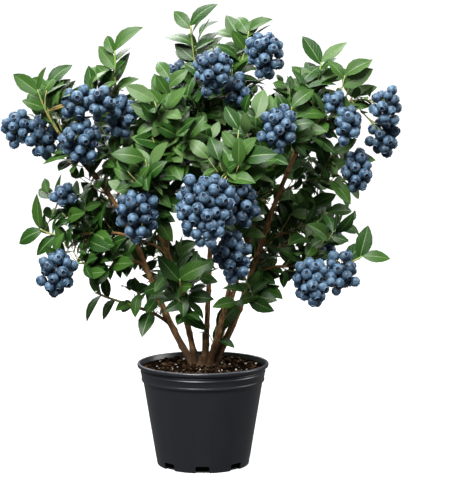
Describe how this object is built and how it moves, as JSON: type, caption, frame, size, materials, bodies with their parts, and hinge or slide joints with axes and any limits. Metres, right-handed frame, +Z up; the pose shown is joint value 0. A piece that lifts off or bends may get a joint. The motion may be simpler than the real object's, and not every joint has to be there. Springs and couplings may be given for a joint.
{
  "type": "blueberry bush in a pot",
  "caption": "Fruiting blueberry bush in a round tapered black nursery pot: woody stems from a shared stool, leafy sprays and hanging trusses of blue berries.",
  "frame": {"origin": "centre of the pot's flat underside, where the pot stands", "axes": "+Z up along the pot's axis, -Y towards the bush's fuller side with its largest truss of berries, +X to the right seen from there"},
  "size_m": [0.5989, 0.501, 0.7033],
  "materials": {
    "pot": "moulded black plastic with a soft sheen",
    "soil": "moist peat and bark compost with white flecks",
    "bark": "reddish brown woody bark, finely ridged",
    "foliage": "waxy dark green leaves, paler below",
    "fruit": "ripe blue berries with a pale waxy bloom"
  },
  "bodies": {
    "root": {"pot": "pot", "soil": "soil", "stool": "bark", "stem_left": "bark", "stem_right": "bark", "stem_front_left": "bark", "stem_front_right": "bark", "stem_back_left": "bark", "stem_top": "bark", "stem_back_right": "bark", "bough_upper_left": "bark", "bough_shoot_left": "bark", "bough_shoot_top": "bark", "bough_top_right": "bark", "bough_right_top": "bark", "bough_right_mid": "bark", "bough_right_low": "bark", "bough_right_inner": "bark", "bough_inner_right": "bark", "bough_centre": "bark", "bough_centre_low": "bark", "bough_left_side": "bark", "bough_left_low": "bark", "bough_centre_top": "bark", "bough_back_left_low": "bark", "bough_back_high": "bark", "bough_back_mid": "bark", "bough_back_right_low": "bark", "bough_back_low": "bark", "spray_left_high": "foliage", "spray_upper_left": "foliage", "spray_shoot_left": "foliage", "spray_shoot_top": "foliage", "spray_top_centre": "foliage", "spray_top_right": "foliage", "spray_right_top": "foliage", "spray_right_high": "foliage", "spray_right_mid": "foliage", "spray_centre_right": "foliage", "spray_right_low": "foliage", "spray_right_inner": "foliage", "spray_inner_right": "foliage", "spray_centre": "foliage", "spray_centre_low": "foliage", "spray_left_mid": "foliage", "spray_left_side": "foliage", "spray_left_low": "foliage", "spray_lower_left": "foliage", "spray_rosette": "foliage", "spray_centre_top": "foliage", "spray_sprig": "foliage", "spray_back_left_high": "foliage", "spray_back_left_low": "foliage", "spray_back_high": "foliage", "spray_back_mid": "foliage", "spray_back_right_high": "foliage", "spray_back_right_low": "foliage", "spray_back_low": "foliage"}
  },
  "joints": []
}
